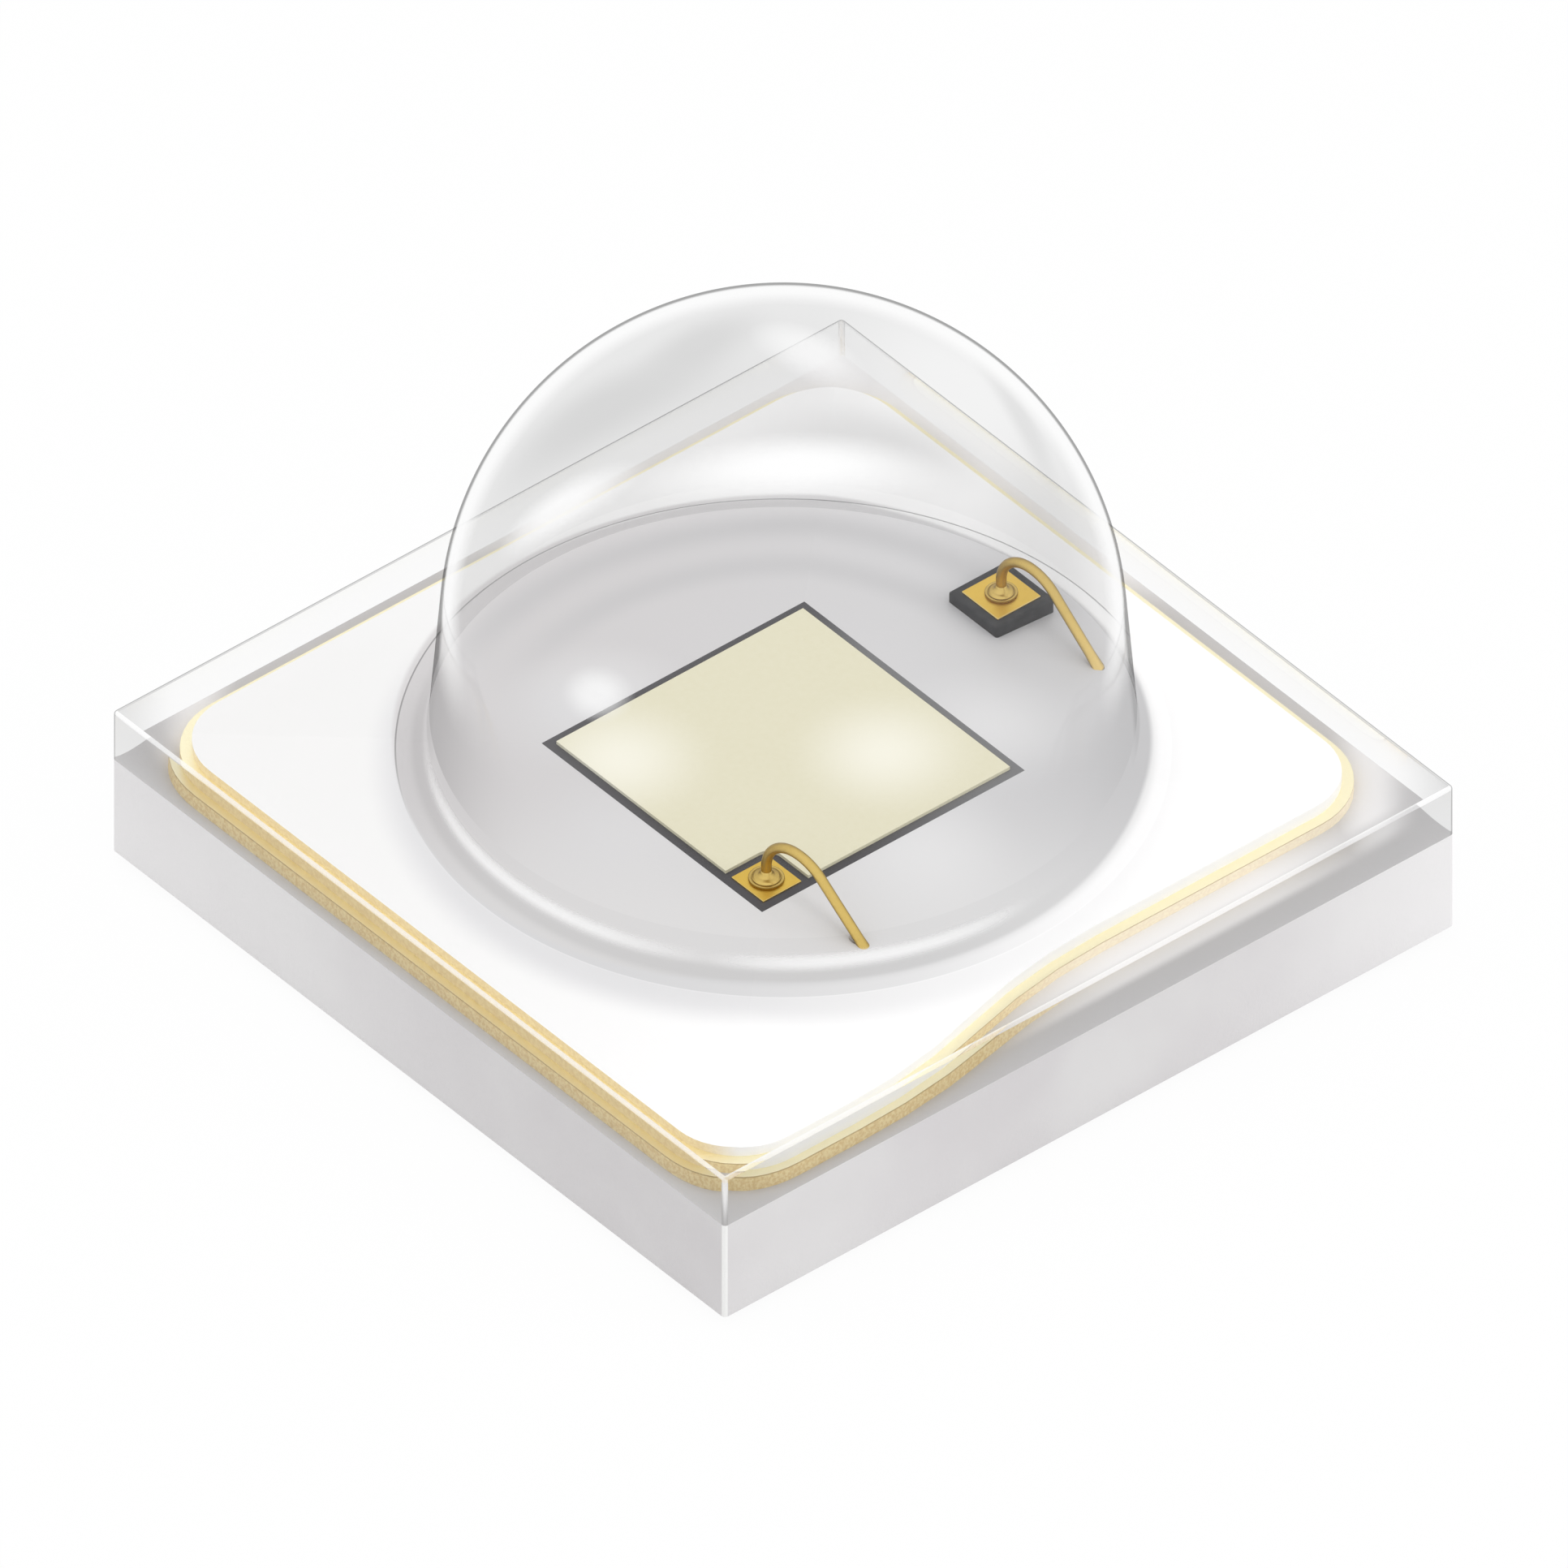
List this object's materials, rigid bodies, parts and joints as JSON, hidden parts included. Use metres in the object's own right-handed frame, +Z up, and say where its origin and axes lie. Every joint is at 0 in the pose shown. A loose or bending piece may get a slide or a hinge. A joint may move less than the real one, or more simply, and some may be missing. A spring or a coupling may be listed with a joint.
{
  "type": "surface-mount led",
  "caption": "Square ceramic surface-mount LED with a clear domed lens, a phosphor-covered chip, a protection diode and solder pads underneath.",
  "frame": {"origin": "centre of the underside, on the plane of the solder pads' faces", "axes": "+Z up through the dome; +X from the cathode pad to the anode pad; the bond wires run towards -Y, and the polarity mark is at -X -Y"},
  "size_m": [0.003, 0.003, 0.0022],
  "materials": {
    "ceramic": "fired white ceramic, matte, diced edges",
    "clear_silicone": "clear moulded silicone, glossy",
    "white_silicone": "white filled silicone, matte",
    "gold_plating": "gold plating over copper, fine grain",
    "bond_metal": "gold metallisation, satin",
    "gold_wire": "drawn gold wire, glossy",
    "chip": "dark semiconductor, polished",
    "phosphor": "cream phosphor ceramic, satin",
    "diode_silicon": "dark silicon with softened edges",
    "via_copper": "copper filling",
    "solder": "tin-gold solder layer, matte",
    "silver_glue": "silver-filled glue, matte"
  },
  "bodies": {
    "root": {"ceramic_substrate": "ceramic", "cathode_solder_pad": "gold_plating", "anode_solder_pad": "gold_plating", "thermal_pad": "gold_plating", "cathode_via": "via_copper", "anode_via": "via_copper", "reflector_frame": "gold_plating", "die_pad": "gold_plating", "wire_pad": "gold_plating", "reflector_coat": "white_silicone", "die_attach": "solder", "led_die": "chip", "converter_plate": "phosphor", "chip_bond_pad": "bond_metal", "chip_bond_wire": "gold_wire", "diode_attach": "silver_glue", "esd_diode": "diode_silicon", "diode_bond_pad": "bond_metal", "diode_bond_wire": "gold_wire", "silicone_lens": "clear_silicone"}
  },
  "joints": []
}
